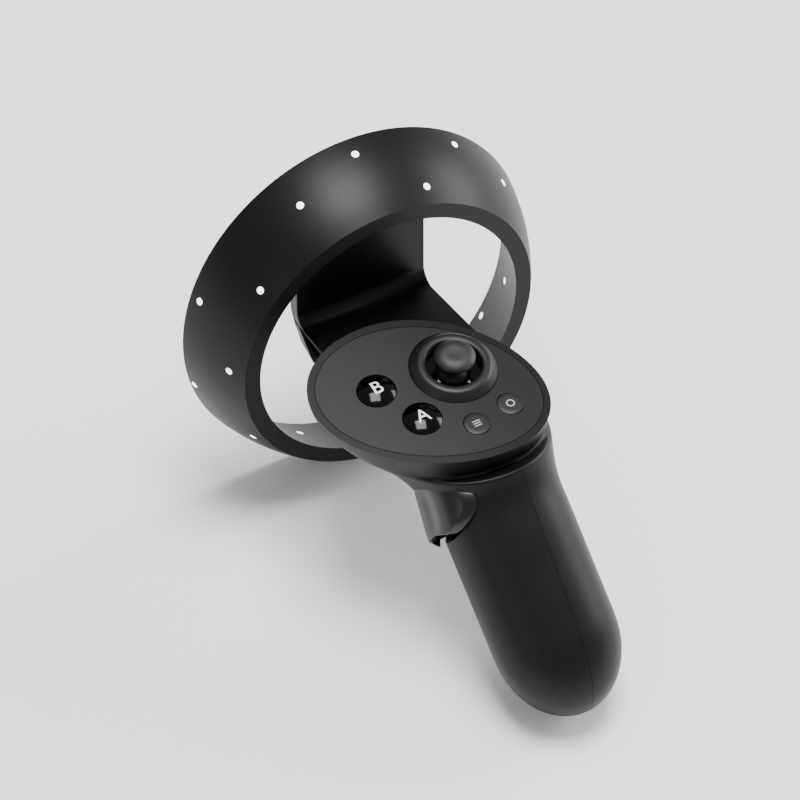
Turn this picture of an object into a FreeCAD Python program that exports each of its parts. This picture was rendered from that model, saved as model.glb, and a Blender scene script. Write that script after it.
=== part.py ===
import FreeCAD, Part

# Right-hand motion controller: a tracking ring, a crowned oval thumb face and a round battery handle.
# Frame: +X to the holder's right, +Y forward, +Z up out of the thumb face. Millimetres.
# It stands on the ring's lowest point and on the handle's tip, with the thumb face level.
import math
import os

from FreeCAD import Matrix, Placement, Rotation, Vector

# ---- where the main pieces stand -------------------------------------------------------------
FACE = Vector(-4.8, 10.135, 73.856)        # middle of the oval thumb face
CROWN_R = 210.0                       # the face is crowned from side to side
OVAL_A, OVAL_B = 37.2, 27.1           # the face's outer half axes
OVAL_TURN = -29.0                     # long axis, from left-front to right-back
RIM_W = 2.45                          # land around the face plate
WALL = 1.8                            # casing wall

COVER_NOTCH = Vector(14.7, -28, 0)    # where the cover's seam crosses the rim, from the face's middle
COVER_FRONT = -4.5                    # the cover's front edge
COVER_LEAN = -2.7                     # the seam against the handle's middle plane
HANDLE_TOP = FACE + Vector(10.2, -9.7, -14.5)
HANDLE_DIR = Vector(0.037, -0.833, -0.551)
HANDLE_A, HANDLE_B = 20.0, 17.5       # half width and half depth of the handle
BLEND_S = 24.0                        # the head's funnel ends here, measured along the handle
# tilt, centre from the face's middle, half width, half depth and turn of the head's lower stations
HEAD_STATIONS = [(25, 7.9, -10.6, -17.2, 26.5, 24.3, -13)]
STATION_POINTS = 24
DOME_ANGLES = (12, 26, 40, 54, 66, 76, 83)
DOME_S, DOME_L = 67.0, 25.0           # start and length of the rounded end

RING_TILT = 9.0                       # the ring's axis points forward and this much down
RING_NEAR = Vector(0, FACE.y + 32.9, FACE.z - 13.05)
RING_W = 23.4                         # width of the band at mid height
RING_R0, RING_R1 = 49.8, 59.0         # outer radius at the rear and front rims
RING_IN0, RING_IN1 = 44.5, 52.2       # inner radius at the same rims
RING_BULGE = 1.16                     # how far the outer band bows out between its rims
RING_FLARE = 2.86                     # the front rim leans, so that the band is widest at the top
RING_WALL = 1.4

LED_R = 1.15
# azimuth from +X towards the top, and distance from the rear rim
LED_NEAR, LED_MID, LED_FAR = 5.2, 14.4, 20.4
OUTER_LEDS = [(14, LED_FAR), (33, LED_MID), (55, LED_FAR), (73, LED_NEAR), (91, LED_FAR), (114, LED_MID),
              (142, LED_NEAR), (159, LED_FAR), (176, LED_NEAR), (193, LED_FAR), (212, LED_NEAR),
              (231, LED_MID), (252, LED_NEAR), (274, LED_MID), (296, LED_NEAR), (318, LED_MID),
              (338, LED_NEAR), (356, LED_MID)]
INNER_LEDS = [(-11, 12.9), (-32, 18.6), (-54, 12.9), (-76, 16.4), (-98, 12.9), (-120, 12.9),
              (-142, 16.4), (-164, 12.9), (174, 18.6)]

STICK = FACE + Vector(10.7, 4.9, 0)   # the stick's axis
KEY_A = FACE + Vector(-7.1, -8.4, 0)
KEY_B = FACE + Vector(-14.6, 6.9, 0)
KEY_MENU = FACE + Vector(7.0, -16.9, 0)
KEY_HOME = FACE + Vector(20.3, -13.8, 0)
KEY_R, DISC_R = 6.0, 4.1              # domed keys and flush discs
KEY_GAP = 0.15
PLATE_T = 1.8
PCB_T = 1.2
PCB_Z = FACE.z - 11.5                 # top of the main board

NECK_X = -2.9                         # middle of the bridge
NECK_T = 4.4
NECK_SPLIT = 2.1                      # thickness of the bridge's front cover
NECK_BEND = 5.0
# side profile of the bridge's visible face, forward and up from the face's middle
NECK_ROOT, NECK_CORNER, NECK_TOP = (12.0, -0.6), (46.4, -11.0), (55.2, 38.0)
NECK_PLAN = [(-5, 27.0), (20, 26.2), (46, 22.0), (51, 22.0), (80, 22.0)]
NECK_FRONT = [(-40, 40), (-11.1, 40), (-11.0, 21.9), (40, 24.8), (60, 24.8)]
CELL_R, CELL_L = 7.25, 50.5           # AA cell
CELL_S = 23.0                         # the cells' upper ends, along the handle
CELL_Y = 7.6                          # each cell's distance from the handle's middle
TRAY_L = 58.0
COLLAR_R = 13.6
STICK_PIVOT = -7.0
KEY_TRAVEL = 1.0
DOME_H = 1.0
PIN_R = 1.0
GRIP_PIN_R = 0.8
RUN_FIT = 0.05
FIT = 0.05
SEAM = 0.12
U_MAX = 31.0
OUT_CONE, IN_CONE = math.radians(20.6), math.radians(17.8)

TRIGGER_X, TRIGGER_W = -1.5, 15.0
TRIGGER_PIN = Vector(TRIGGER_X, FACE.y + 12.0, FACE.z - 18.6)
TRIGGER_OUTLINE = [(10.2, -17.0), (14.0, -14.8), (19.2, -15.6), (23.0, -19.6), (23.8, -25.0), (21.6, -30.4),
                   (17.0, -34.6), (14.4, -33.6), (15.4, -28.6), (14.0, -23.6), (11.2, -21.2)]
GRIP_Y, GRIP_S = -1.0, 18.8           # middle of the grip button's opening
GRIP_HALF_Y, GRIP_HALF_S = 14.6, 9.6
GRIP_HINGE_X, GRIP_HINGE_S = -14.6, 11.6
GRIP_TURN = -7.0                      # the paddle stands proud by this much at rest
GRIP_BARREL = 6.0
MOTOR_S = 11.0


# ---- frames ----------------------------------------------------------------------------------
def frame(origin, x_axis, y_axis, z_axis):
    """Placement that takes local axes to the given ones."""
    return Placement(Matrix(x_axis.x, y_axis.x, z_axis.x, origin.x,
                            x_axis.y, y_axis.y, z_axis.y, origin.y,
                            x_axis.z, y_axis.z, z_axis.z, origin.z,
                            0, 0, 0, 1))


DOWN = Vector(HANDLE_DIR).normalize()                      # along the handle, to its tip
SIDE = (Vector(1, 0, 0) - DOWN * DOWN.x).normalize()       # across the handle, to the right
BACK = DOWN.cross(SIDE)                                    # out of the palm side
AXIS = Vector(0, math.cos(math.radians(RING_TILT)), -math.sin(math.radians(RING_TILT)))
RING_UP = Vector(0, -AXIS.z, AXIS.y)


def at_handle(shape, s=0.0):
    """Move a shape made about +Z to the handle: +X right, +Y palm side, +Z to the tip."""
    out = shape.copy()
    out.Placement = frame(HANDLE_TOP + DOWN * s, SIDE, BACK, DOWN).multiply(out.Placement)
    return out


def handle_point(x, y, s):
    return HANDLE_TOP + SIDE * x + BACK * y + DOWN * s


def at_ring(shape):
    """Move a shape made about +Z to the ring: +Z forward along its axis, +Y towards its foot."""
    out = shape.copy()
    out.Placement = frame(RING_NEAR, Vector(1, 0, 0), RING_UP * -1, AXIS).multiply(out.Placement)
    return out


def ring_radial(azimuth):
    a = math.radians(azimuth)
    return Vector(1, 0, 0) * math.cos(a) + RING_UP * math.sin(a)


# ---- small makers ----------------------------------------------------------------------------
def cyl(r, h, at, axis=Vector(0, 0, 1)):
    return Part.makeCylinder(r, h, at, axis)


def box(dx, dy, dz, centre):
    return Part.makeBox(dx, dy, dz, centre - Vector(dx / 2, dy / 2, dz / 2))


def revolve(points, at=Vector(0, 0, 0)):
    """Solid of revolution about +Z from (radius, height) points."""
    wire = Part.makePolygon([Vector(r, 0, z) for r, z in points] + [Vector(points[0][0], 0, points[0][1])])
    solid = Part.Face(wire).revolve(Vector(0, 0, 0), Vector(0, 0, 1), 360)
    solid.translate(at)
    return solid


def prism_x(points, x0, x1):
    """Extrude a closed outline of (y, z) points from x0 to x1."""
    wire = Part.makePolygon([Vector(x0, y, z) for y, z in points + [points[0]]])
    return Part.Face(wire).extrude(Vector(x1 - x0, 0, 0))


def oval(inset, z0, z1, centre=FACE):
    """Upright prism on the face's outline, moved in by inset."""
    curve = Part.Ellipse(Vector(0, 0, 0), OVAL_A - inset, OVAL_B - inset)
    solid = Part.Face(Part.Wire(curve.toShape())).extrude(Vector(0, 0, z1 - z0))
    solid.rotate(Vector(0, 0, 0), Vector(0, 0, 1), OVAL_TURN)
    solid.translate(Vector(centre.x, centre.y, z0))
    return solid


def crown(drop):
    """Everything below the crowned face, lowered by drop."""
    return Part.makeCylinder(CROWN_R - drop, 200, FACE + Vector(0, -100, -CROWN_R), Vector(0, 1, 0))


def crown_z(x):
    """Height of the crowned face at x."""
    return FACE.z - CROWN_R + math.sqrt(CROWN_R ** 2 - (x - FACE.x) ** 2)


def rounded(solid, radius, keep):
    """Fillet the edges that keep(edge) picks."""
    return solid.makeFillet(radius, [e for e in solid.Edges if keep(e)])


def spring(radius, wire, height, turns, at, axis):
    """Closed-end coil spring as a swept helix."""
    helix = Part.makeHelix(height / turns, height, radius)
    profile = Part.Wire(Part.makeCircle(wire / 2, Vector(radius, 0, 0), Vector(0, 1, 0)))
    coil = Part.Wire(helix).makePipeShell([profile], True, True)
    coil.Placement = Placement(at, Rotation(Vector(0, 0, 1), axis))
    return coil


def save(name, shape):
    """Write one piece."""
    solids = shape.Solids
    if not shape.isValid() or not solids:
        raise ValueError("bad solid " + name)
    piece = solids[0] if len(solids) == 1 else Part.makeCompound(solids)
    piece.exportStep("parts/" + name + ".step")
    made[name] = piece


# ---- head and handle casing ------------------------------------------------------------------
def station(centre, x_axis, y_axis, a, b, turn):
    """Oval station of the body, its long axis turned in its plane, started so that stations line up."""
    bend = math.radians(turn)
    points = []
    for i in range(STATION_POINTS):
        t = 2 * math.pi * i / STATION_POINTS + math.radians(OVAL_TURN) - bend
        x = a * math.cos(t) * math.cos(bend) - b * math.sin(t) * math.sin(bend)
        y = a * math.cos(t) * math.sin(bend) + b * math.sin(t) * math.cos(bend)
        points.append(centre + x_axis * x + y_axis * y)
    curve = Part.BSplineCurve()
    knots = [i / STATION_POINTS for i in range(STATION_POINTS + 1)]
    curve.interpolate(Points=points, PeriodicFlag=True, Parameters=knots)
    return curve


def skin(curves):
    """Closed solid through a row of closed curves."""
    surface = Part.BSplineSurface()
    surface.buildFromNSections(curves)
    caps = [Part.Face(Part.Wire(curve.toShape())) for curve in (curves[0], curves[-1])]
    shell = Part.makeShell([surface.toShape()] + caps)
    solid = Part.makeSolid(shell)
    if solid.Volume < 0:
        shell.reverse()
        solid = Part.makeSolid(shell)
    return solid


def body_envelope(inset, lip, head):
    """Oval face, funnel, round handle and domed end as one smooth solid, moved in by inset.

    lip and head are the larger insets at the face and in the funnel, whose stations fan out from the
    palm side, where the rim meets the handle."""
    stations = []
    for z, shrink, more in [(4.0, 0.0, lip), (-1.0, 0.0, lip), (-5.6, 0.9, max(lip - 0.9, 0))]:
        stations.append(station(FACE + Vector(0, 0, z), Vector(1, 0, 0), Vector(0, 1, 0),
                                OVAL_A - shrink - more, OVAL_B - shrink - more, OVAL_TURN))
    for tilt, x, y, z, a, b, turn in HEAD_STATIONS:
        lean = math.radians(tilt)
        front = Vector(0, math.cos(lean), -math.sin(lean))
        stations.append(station(FACE + Vector(x, y, z), Vector(1, 0, 0), front, a - head, b - head, turn))
    a, b = HANDLE_A - inset, HANDLE_B - inset
    stations.append(station(handle_point(0, 0, BLEND_S), SIDE, BACK * -1, HANDLE_A - (inset + head) / 2,
                            HANDLE_B - (inset + head) / 2, 0))
    for s in (BLEND_S + 7, 42, DOME_S - 8, DOME_S - 3):
        stations.append(station(handle_point(0, 0, s), SIDE, BACK * -1, a, b, 0))
    for angle in DOME_ANGLES:
        k = math.radians(angle)
        centre = handle_point(0, 0, DOME_S + (DOME_L - inset) * math.sin(k))
        stations.append(station(centre, SIDE, BACK * -1, a * math.cos(k), b * math.cos(k), 0))
    return skin(stations)


def cover_zone(gap):
    """The right and palm side of the body, which comes off as the battery cover."""
    lean = math.radians(COVER_LEAN)
    normal = SIDE * math.cos(lean) - DOWN * math.sin(lean)
    zone = Part.makeBox(80, 400, 400)
    zone.translate(Vector(gap, -200, -200))
    zone.Placement = frame(FACE + COVER_NOTCH, normal, BACK * -1, normal.cross(BACK * -1)).multiply(
        zone.Placement)
    behind = Part.makeBox(400, 300, 400, Vector(-200, FACE.y + COVER_FRONT - 300 - gap, -200))
    return zone.common(behind)


# ---- ring ------------------------------------------------------------------------------------
def band_radius(u):
    """Outer radius of the ring at distance u from its rear rim."""
    t = u / RING_W
    return RING_R0 + (RING_R1 - RING_R0) * t + 4 * RING_BULGE * t * (1 - t)


def inner_radius(u):
    return RING_IN0 + (RING_IN1 - RING_IN0) * u / RING_W


def band(outer_inset, inner_inset, u0, u1):
    """Solid between the bowed outer surface and the straight inner cone."""
    def p(r, u):
        return Vector(r, 0, u)
    top = Part.Arc(p(band_radius(u0) - outer_inset, u0), p(band_radius((u0 + u1) / 2) - outer_inset, (u0 + u1) / 2),
                   p(band_radius(u1) - outer_inset, u1)).toShape()
    corner0, corner1 = p(inner_radius(u0) + inner_inset, u0), p(inner_radius(u1) + inner_inset, u1)
    edges = [top, Part.makeLine(p(band_radius(u1) - outer_inset, u1), corner1), Part.makeLine(corner1, corner0),
             Part.makeLine(corner0, p(band_radius(u0) - outer_inset, u0))]
    return Part.Face(Part.Wire(edges)).revolve(Vector(0, 0, 0), Vector(0, 0, 1), 360)


def front_cut(inset):
    """Everything in front of the leaning front rim, moved back by inset."""
    block = Part.makeBox(160, 160, 60, Vector(-80, -80, 0))
    block.rotate(Vector(0, 0, 0), Vector(1, 0, 0), -RING_FLARE)
    block.translate(Vector(0, 0, RING_W - inset))
    return block



# ---- neck ------------------------------------------------------------------------------------
def neck_edges(depth, x):
    """The bridge's side profile at a depth below its visible face: floor, tight bend, rise to the ring."""
    start, corner, top = [FACE + Vector(0, y, z) for y, z in (NECK_ROOT, NECK_CORNER, NECK_TOP)]
    along, up = (corner - start).normalize(), (top - corner).normalize()
    below, ahead = Vector(0, along.z, -along.y), Vector(0, up.z, -up.y)
    shift = (below + ahead) * (depth / (1 + below.dot(ahead)))
    start, corner, top = start + below * depth, corner + shift, top + ahead * depth
    turn = math.acos(along.dot(up))
    radius = NECK_BEND + depth
    reach = radius * math.tan(turn / 2)
    inwards = (up - along).normalize()
    first, last = corner - along * reach, corner + up * reach
    middle = corner + inwards * (radius / math.cos(turn / 2) - radius)
    for point in (start, first, middle, last, top):
        point.x = x
    arc = Part.Arc(first, middle, last).toShape()
    return start, top, [Part.makeLine(start, first), arc, Part.makeLine(last, top)]


def neck_layer(depth0, depth1, x0, x1):
    """A layer of the bridge between two depths."""
    start0, top0, outer = neck_edges(depth0, x0)
    start1, top1, inner = neck_edges(depth1, x0)
    edges = outer + [Part.makeLine(top0, top1)] + inner + [Part.makeLine(start1, start0)]
    return Part.Face(Part.Wire(Part.__sortEdges__(edges))).extrude(Vector(x1 - x0, 0, 0))


def neck_trim():
    """What the bridge's sides, the head and the ring leave of it."""
    def outline(points, normal, length):
        wire = Part.makePolygon(points + [points[0]])
        return Part.Face(wire).extrude(normal * length)
    plan, front = [], []
    for side in (1, -1):
        row = [Vector(NECK_X + side * w, FACE.y + y, -50) for y, w in NECK_PLAN]
        plan += row if side == 1 else row[::-1]
        row = [Vector(NECK_X + side * w, FACE.y - 100, FACE.z + z) for z, w in NECK_FRONT]
        front += row if side == 1 else row[::-1]
    shape = outline(plan, Vector(0, 0, 1), 260).common(outline(front, Vector(0, 1, 0), 300))
    tunnel = at_ring(revolve([(0, -60), (inner_radius(-60) - FIT, -60), (inner_radius(60) - FIT, 60), (0, 60)]))
    return shape.common(tunnel).cut(oval(-FIT, -60, FACE.z + 20))


def neck_screw_axes():
    """Places and directions of the bridge's screws, driven from its hidden side."""
    start, corner, top = [FACE + Vector(0, y, z) for y, z in (NECK_ROOT, NECK_CORNER, NECK_TOP)]
    along, up = (corner - start).normalize(), (top - corner).normalize()
    below, ahead = Vector(0, along.z, -along.y), Vector(0, up.z, -up.y)
    spots = []
    for x in (NECK_X - 15, NECK_X + 15):
        spots.append((corner - along * 11 + below * NECK_T + Vector(x - FACE.x, 0, 0), below * -1))
        spots.append((corner + up * 14 + ahead * NECK_T + Vector(x - FACE.x, 0, 0), ahead * -1))
    return spots


def screw(place, direction, head_r, head_h, shank_r, length):
    """Countersunk-free screw: a flat head let in from the surface and a plain shank."""
    head = cyl(head_r, head_h, place + direction * 0.2, direction)
    return head.fuse(cyl(shank_r, length, place + direction * (0.2 + head_h - 0.01), direction))


# ---- thumb face ------------------------------------------------------------------------------
def key_body(place, radius, dome, skirt, stem):
    """Round key: domed or flat top, retaining flange and a stem down to its switch."""
    top = Vector(place.x, place.y, crown_z(place.x))
    if dome > 0.5:
        curve = (radius ** 2 + dome ** 2) / (2 * dome)
        cap = cyl(radius, skirt + dome, top - Vector(0, 0, skirt)).common(
            Part.makeSphere(curve, top + Vector(0, 0, dome - curve)))
    else:
        cap = cyl(radius, skirt + dome, top - Vector(0, 0, skirt))
    flange = cyl(radius + 0.7, 0.9, top - Vector(0, 0, skirt + 0.9))
    foot = PCB_Z + DOME_H + KEY_TRAVEL + 0.05
    return cap.fuse(flange).fuse(cyl(stem, top.z - skirt - 0.5 - foot, Vector(top.x, top.y, foot)))


def stick_base():
    return Vector(STICK.x, STICK.y, crown_z(STICK.x))


# ---- triggers --------------------------------------------------------------------------------
def trigger_blade():
    """Index trigger: hub round its pin and a curved finger blade."""
    points = [FACE + Vector(0, y, z) for y, z in TRIGGER_OUTLINE]
    curve = Part.BSplineCurve()
    for point in points:
        point.x = TRIGGER_X - TRIGGER_W / 2
    curve.interpolate(points)
    closing = Part.makeLine(points[-1], points[0])
    blade = Part.Face(Part.Wire([curve.toShape(), closing])).extrude(Vector(TRIGGER_W, 0, 0))
    hub = cyl(2.8, TRIGGER_W, TRIGGER_PIN - Vector(TRIGGER_W / 2, 0, 0), Vector(1, 0, 0))
    hole = cyl(PIN_R + RUN_FIT, 40, TRIGGER_PIN - Vector(20, 0, 0), Vector(1, 0, 0))
    coil_room = cyl(3.1, 3.6, TRIGGER_PIN + Vector(TRIGGER_W / 2 - 3.6, 0, 0), Vector(1, 0, 0))
    return blade.fuse(hub).cut(hole).cut(coil_room)


def grip_prism(clearance, lift):
    """Oval prism through the handle's left wall, shrunk by clearance and lifted off its lower end."""
    ellipse = Part.Ellipse(Vector(0, 0, 0), GRIP_HALF_Y - clearance, GRIP_HALF_S - clearance - lift / 2)
    solid = Part.Face(Part.Wire(ellipse.toShape())).extrude(Vector(0, 0, 16))
    solid.Placement = frame(Vector(-HANDLE_A - 5, GRIP_Y, GRIP_S - lift / 2), Vector(0, 1, 0), Vector(0, 0, 1),
                            Vector(1, 0, 0))
    return at_handle(solid)


def grip_shell(outset, inset):
    """The handle's own wall surface, swung out about the grip hinge."""
    def tube(a, b):
        face = Part.Face(Part.Wire(Part.Ellipse(Vector(0, 0, 0), a, b).toShape()))
        return face.extrude(Vector(0, 0, 60))
    shell = tube(HANDLE_A + outset, HANDLE_B + outset).cut(tube(HANDLE_A - inset, HANDLE_B - inset))
    shell.rotate(Vector(GRIP_HINGE_X, 0, GRIP_HINGE_S), Vector(0, 1, 0), GRIP_TURN)
    return at_handle(shell)


# ---- power -----------------------------------------------------------------------------------
def contact_spring(at):
    """Two turns of a cell's contact spring, joined by their riser."""
    low, high = Part.makeTorus(3.0, 0.4, Vector(0, 0, 0.4)), Part.makeTorus(2.4, 0.4, Vector(0, 0, 1.3))
    riser = cyl(0.35, 1.08, Vector(3.0, 0, 0.4), Vector(-0.6, 0, 0.9))
    coil = low.fuse([high, riser])
    coil.translate(at)
    return coil


# ---- build everything ------------------------------------------------------------------------
made = {}
os.makedirs("parts", exist_ok=True)

body_out = body_envelope(0, 0, 0).common(crown(0))
body_in = body_envelope(WALL, RIM_W + 1.4, 3.4).common(crown(1.0))
body_fit = body_envelope(WALL + 0.35, RIM_W + 1.8, 3.8).common(crown(1.2))
plate_seat = oval(RIM_W, FACE.z - 12, FACE.z + 5).cut(crown(PLATE_T + 0.1))
body = body_out.cut(body_in).cut(plate_seat)
base = stick_base()

trigger_slot = Part.makeBox(TRIGGER_W + 0.8, 18, 24.5, FACE + Vector(
    TRIGGER_X - FACE.x - TRIGGER_W / 2 - 0.4, 10.5, -38.5))
casing = body.cut(cover_zone(0)).cut(trigger_slot).cut(grip_prism(0, 0))
save("main_casing", casing)
save("battery_cover", body.common(cover_zone(SEAM)))

# face plate, keys and stick
plate = oval(RIM_W + 0.2, FACE.z - 12, FACE.z + 5).common(crown(0)).cut(crown(PLATE_T))
plate = plate.cut(cyl(COLLAR_R + 0.1, 30, STICK - Vector(0, 0, 15)))
for place, radius in ((KEY_A, KEY_R), (KEY_B, KEY_R), (KEY_MENU, DISC_R), (KEY_HOME, DISC_R)):
    plate = plate.cut(cyl(radius + KEY_GAP, 30, place - Vector(0, 0, 15)))
save("face_plate", plate)
save("key_a", key_body(KEY_A, KEY_R, 1.6, 2.45, 1.6))
save("key_b", key_body(KEY_B, KEY_R, 1.6, 2.45, 1.6))
save("key_menu", key_body(KEY_MENU, DISC_R, 0.2, 2.45, 1.4))
save("key_home", key_body(KEY_HOME, DISC_R, 0.2, 2.45, 1.4))
save("stick_collar", revolve([(8.85, 2.1), (9.35, 2.6), (11.2, 2.6), (COLLAR_R, -0.2), (COLLAR_R, -1.9),
                              (9.9, -1.9), (9.9, -3.4), (8.85, -3.4)], base))
pivot = base + Vector(0, 0, STICK_PIVOT)
cap = revolve([(0, 4.0), (4.2, 4.0), (6.0, 4.9), (6.35, 5.6), (6.0, 6.3), (4.4, 7.1), (2.4, 7.5), (0, 7.6)], base)
cap = cap.cut(cyl(1.5, 2.5, base + Vector(0, 0, 3.5)))
save("stick_cap", cap)
skirt = Part.makeSphere(7.6, pivot).cut(Part.makeSphere(6.6, pivot))
skirt = skirt.cut(cyl(20, 20, pivot + Vector(0, 0, -17.0)))
shaft = cyl(1.45, 5.5 - STICK_PIVOT, pivot).fuse(Part.makeSphere(2.4, pivot)).fuse(skirt)
cross_bore = cyl(0.9 + RUN_FIT, 20, pivot - Vector(0, 10, 0), Vector(0, 1, 0))
save("stick_shaft", shaft.cut(cross_bore).cut(cyl(5, 3, pivot + Vector(0, 0, -4.8))))
ring_yoke = cyl(4.7, 2.6, pivot - Vector(0, 0, 1.3)).cut(cyl(3.5, 4, pivot - Vector(0, 0, 2)))
ring_yoke = ring_yoke.fuse(cyl(0.9, 2.6, pivot + Vector(0, 1.6, 0), Vector(0, 1, 0)))
ring_yoke = ring_yoke.fuse(cyl(0.9, 2.6, pivot - Vector(0, 1.6, 0), Vector(0, -1, 0)))
ring_yoke = ring_yoke.fuse(cyl(0.9, 4.9, pivot + Vector(4.4, 0, 0), Vector(1, 0, 0)))
ring_yoke = ring_yoke.fuse(cyl(0.9, 4.9, pivot - Vector(4.4, 0, 0), Vector(-1, 0, 0)))
save("stick_yoke", ring_yoke)
module = box(19.6, 19.6, base.z - 3.5 - PCB_Z, Vector(base.x, base.y, (base.z - 3.5 + PCB_Z) / 2))
module = module.cut(cyl(8.3, 30, Vector(base.x, base.y, PCB_Z + 0.8)))
module = module.cut(cyl(0.9 + RUN_FIT, 30, pivot - Vector(15, 0, 0), Vector(1, 0, 0)))
save("stick_module", module.common(body_fit))

# boards
board = oval(9.0, PCB_Z - PCB_T, PCB_Z).common(body_fit)
save("main_board", board)
domes = [cyl(2.4, DOME_H, Vector(key.x, key.y, PCB_Z)) for key in (KEY_A, KEY_B, KEY_MENU, KEY_HOME)]
save("dome_switches", Part.makeCompound(domes))
mat = oval(10.0, PCB_Z, PCB_Z + 0.5).cut(box(20.2, 20.2, 9, Vector(base.x, base.y, PCB_Z)))
for key in (KEY_A, KEY_B, KEY_MENU, KEY_HOME):
    mat = mat.cut(cyl(2.6, 9, Vector(key.x, key.y, PCB_Z - 4)))
save("key_mat", mat.common(body_fit))
save("processor_can", box(11, 11, 1.6, Vector(FACE.x + 2, FACE.y - 8, PCB_Z - PCB_T - 0.8)))
save("radio_can", box(8, 6, 1.4, Vector(FACE.x - 14, FACE.y + 6, PCB_Z - PCB_T - 0.7)))

# index trigger
blade = trigger_blade()
magnet = cyl(1.4, 2.2, TRIGGER_PIN + Vector(-3, 3.2, -9.0), Vector(0, 1, 0))
save("trigger", blade.cut(magnet))
save("trigger_magnet", magnet)
save("trigger_pin", cyl(PIN_R, TRIGGER_W + 5.2, TRIGGER_PIN - Vector(TRIGGER_W / 2 + 2.6, 0, 0), Vector(1, 0, 0)))
ears = []
for side in (-1, 1):
    x = TRIGGER_PIN.x + side * (TRIGGER_W / 2 + 1.5)
    ears.append(box(1.6, 7.0, 8.6, Vector(x, TRIGGER_PIN.y, TRIGGER_PIN.z + 0.9)))
bridge = box(TRIGGER_W + 4.6, 7.0, 1.0, TRIGGER_PIN + Vector(0, 0, 4.7))
bracket = bridge.fuse(ears).cut(cyl(PIN_R, 60, TRIGGER_PIN - Vector(30, 0, 0), Vector(1, 0, 0)))
save("trigger_bracket", bracket.common(body_fit))
save("trigger_spring", spring(1.9, 0.45, 2.7, 4, TRIGGER_PIN + Vector(TRIGGER_W / 2 - 3.2, 0, 0), Vector(1, 0, 0)))

# grip button
hinge = handle_point(GRIP_HINGE_X, GRIP_Y, GRIP_HINGE_S)
in_front = at_handle(Part.makeBox(30, 60, 60, Vector(-40.4, -30, 0)))
paddle = grip_shell(0, 2.2).common(grip_prism(0.45, 0.6)).common(in_front)
barrel = cyl(1.6, GRIP_BARREL, hinge - BACK * (GRIP_BARREL / 2), BACK)
web = at_handle(Part.makeBox(4.2, GRIP_BARREL, 3.0, Vector(GRIP_HINGE_X - 4.2, GRIP_Y - GRIP_BARREL / 2,
                                                       GRIP_HINGE_S - 1.2)))
paddle = paddle.fuse([barrel, web.common(grip_shell(0, 8))])
grip_bore = cyl(GRIP_PIN_R + RUN_FIT, 60, hinge - BACK * 30, BACK)
grip_magnet = cyl(1.4, 1.6, handle_point(-18.2, GRIP_Y, GRIP_S + 5.0), SIDE)
save("grip_button", paddle.cut(grip_bore).cut(grip_magnet))
save("grip_magnet", grip_magnet)
pin_start = GRIP_BARREL / 2 + 2.1
save("grip_pin", cyl(GRIP_PIN_R, 2 * pin_start + 2.1, hinge - BACK * pin_start, BACK))
lugs = []
for y in (GRIP_Y - GRIP_BARREL / 2 - 2.1, GRIP_Y + GRIP_BARREL / 2 + 2.4):
    lugs.append(at_handle(Part.makeBox(6.2, 1.8, 3.0, Vector(GRIP_HINGE_X - 1.1, y, GRIP_HINGE_S - 1.5))))
rail = at_handle(Part.makeBox(1.4, 12.3, 15.0, Vector(GRIP_HINGE_X + 4.3, GRIP_Y - 5.1, GRIP_HINGE_S - 1.5)))
grip_bracket = rail.fuse(lugs).cut(cyl(GRIP_PIN_R, 60, hinge - BACK * 30, BACK))
save("grip_bracket", grip_bracket.common(body_fit))
save("grip_spring", spring(1.25, 0.4, 1.5, 3, hinge + BACK * (GRIP_BARREL / 2 + 0.45), BACK))

# power
tray = at_handle(Part.makeBox(7.4, 24.6, TRAY_L, Vector(-8.9, -12.3, CELL_S - 4.6)))
for side in (-1, 1):
    tray = tray.cut(at_handle(cyl(CELL_R + 0.2, CELL_L + 5.9, Vector(0, side * CELL_Y, CELL_S - 3.1))))
tabs, tab_seats = [], []
for s in (CELL_S - 3.3, CELL_S + CELL_L + 2.6):
    tabs.append(at_handle(Part.makeBox(7.4, 22, 0.35, Vector(-7.5, -11, s))))
    tab_seats.append(at_handle(Part.makeBox(7.7, 22.2, 0.45, Vector(-7.6, -11.1, s - 0.05))))
save("battery_tray", tray.cut(tab_seats))
save("battery_contacts", Part.makeCompound(tabs))
for side, name in ((1, "cell_palm"), (-1, "cell_finger")):
    body_s = CELL_S + (1.0 if side == 1 else 0.0)
    nub_s = CELL_S if side == 1 else CELL_S + CELL_L - 1.0
    cell = cyl(CELL_R, CELL_L - 1.0, Vector(0, side * CELL_Y, body_s)).fuse(
        cyl(2.7, 1.0, Vector(0, side * CELL_Y, nub_s)))
    save(name, at_handle(cell))
coils = [contact_spring(Vector(0, -CELL_Y, CELL_S - 2.6)), contact_spring(Vector(0, CELL_Y, CELL_S + CELL_L + 0.4))]
save("battery_springs", Part.makeCompound([at_handle(coil) for coil in coils]))
# rumble motor
motor = cyl(4.0, 10, Vector(0.5, -1, MOTOR_S), Vector(1, 0, 0))
motor = motor.fuse(cyl(0.6, 6.0, Vector(-5.5, -1, MOTOR_S), Vector(1, 0, 0)))
save("rumble_motor", at_handle(motor))
weight = cyl(3.6, 4.0, Vector(-5.0, -1, MOTOR_S), Vector(1, 0, 0))
weight = weight.cut(box(10, 10, 20, Vector(-3, 4.9, MOTOR_S)))
save("rumble_weight", at_handle(weight.cut(cyl(0.6 + RUN_FIT, 20, Vector(-10, -1, MOTOR_S), Vector(1, 0, 0)))))

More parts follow.
